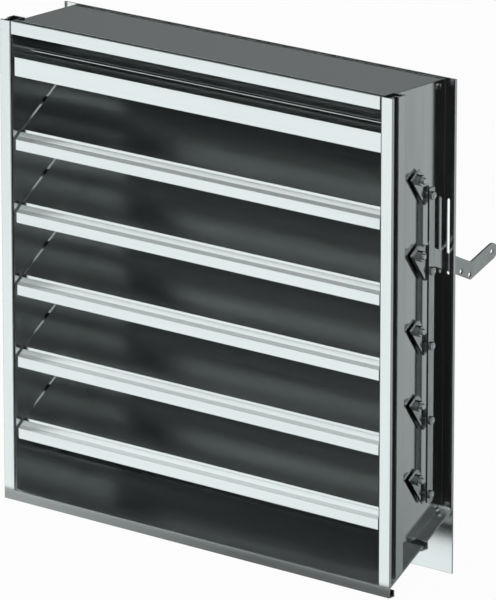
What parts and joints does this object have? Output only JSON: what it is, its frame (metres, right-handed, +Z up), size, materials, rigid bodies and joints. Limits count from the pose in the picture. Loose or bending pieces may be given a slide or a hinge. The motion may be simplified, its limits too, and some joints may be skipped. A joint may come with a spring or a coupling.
{
  "type": "adjustable louver",
  "caption": "Square aluminium adjustable louver: drainable pivoting blades in a channel frame, tied by a side link bar and driven by a bent crank arm.",
  "frame": {"origin": "middle of the frame's front bottom edge, on the front plane and the base plane", "axes": "+X across the face towards the linkage jamb, +Y from the weather face to the rear, +Z up"},
  "size_m": [0.762, 0.2674, 0.762],
  "materials": {
    "frame_aluminium": "smooth mill finish",
    "blade_aluminium": "smooth mill finish",
    "bracket_aluminium": "satin plate",
    "zinc_steel": "zinc-plated",
    "bearing_plastic": "moulded black"
  },
  "bodies": {
    "frame": {"head": "frame_aluminium", "sill": "frame_aluminium", "left_jamb": "frame_aluminium", "right_jamb": "frame_aluminium", "header_blade": "blade_aluminium", "left_bearings": "bearing_plastic", "right_bearings": "bearing_plastic", "frame_screws": "zinc_steel", "header_screws": "zinc_steel"},
    "blade_1_assembly": {"blade_1": "blade_aluminium", "blade_1_left_axle": "zinc_steel", "blade_1_right_axle": "zinc_steel", "blade_1_bracket": "bracket_aluminium", "blade_1_axle_nut": "zinc_steel"},
    "blade_2_assembly": {"blade_2": "blade_aluminium", "blade_2_left_axle": "zinc_steel", "blade_2_right_axle": "zinc_steel", "blade_2_bracket": "bracket_aluminium", "blade_2_axle_nut": "zinc_steel", "crank_arm": "bracket_aluminium"},
    "blade_3_assembly": {"blade_3": "blade_aluminium", "blade_3_left_axle": "zinc_steel", "blade_3_right_axle": "zinc_steel", "blade_3_bracket": "bracket_aluminium", "blade_3_axle_nut": "zinc_steel"},
    "blade_4_assembly": {"blade_4": "blade_aluminium", "blade_4_left_axle": "zinc_steel", "blade_4_right_axle": "zinc_steel", "blade_4_bracket": "bracket_aluminium", "blade_4_axle_nut": "zinc_steel"},
    "blade_5_assembly": {"blade_5": "blade_aluminium", "blade_5_left_axle": "zinc_steel", "blade_5_right_axle": "zinc_steel", "blade_5_bracket": "bracket_aluminium", "blade_5_axle_nut": "zinc_steel"},
    "link_assembly": {"link_bar": "bracket_aluminium", "link_pins": "zinc_steel", "link_spacers": "zinc_steel", "link_nuts": "zinc_steel"}
  },
  "joints": [
    {"name": "blade_1_pivot", "type": "hinge", "parent": "frame", "child": "blade_1_assembly", "pos_m": [0, 0.0812, 0.6216], "axis": [1, 0, 0], "range_deg": [0, 47]},
    {"name": "blade_2_pivot", "type": "hinge", "parent": "frame", "child": "blade_2_assembly", "pos_m": [0, 0.0812, 0.5066], "axis": [1, 0, 0], "range_deg": [0, 47]},
    {"name": "blade_3_pivot", "type": "hinge", "parent": "frame", "child": "blade_3_assembly", "pos_m": [0, 0.0812, 0.3916], "axis": [1, 0, 0], "range_deg": [0, 47]},
    {"name": "blade_4_pivot", "type": "hinge", "parent": "frame", "child": "blade_4_assembly", "pos_m": [0, 0.0812, 0.2766], "axis": [1, 0, 0], "range_deg": [0, 47]},
    {"name": "blade_5_pivot", "type": "hinge", "parent": "frame", "child": "blade_5_assembly", "pos_m": [0, 0.0812, 0.1616], "axis": [1, 0, 0], "range_deg": [0, 47]},
    {"name": "link_pivot", "type": "hinge", "parent": "blade_2_assembly", "child": "link_assembly", "pos_m": [0.3715, 0.1054, 0.47936], "axis": [1, 0, 0], "range_deg": [-47, 0]}
  ],
  "couplings": [
    {"joint": "blade_1_pivot", "follows": "blade_2_pivot", "ratio": 1},
    {"joint": "blade_3_pivot", "follows": "blade_2_pivot", "ratio": 1},
    {"joint": "blade_4_pivot", "follows": "blade_2_pivot", "ratio": 1},
    {"joint": "blade_5_pivot", "follows": "blade_2_pivot", "ratio": 1},
    {"joint": "link_pivot", "follows": "blade_2_pivot", "ratio": -1}
  ]
}
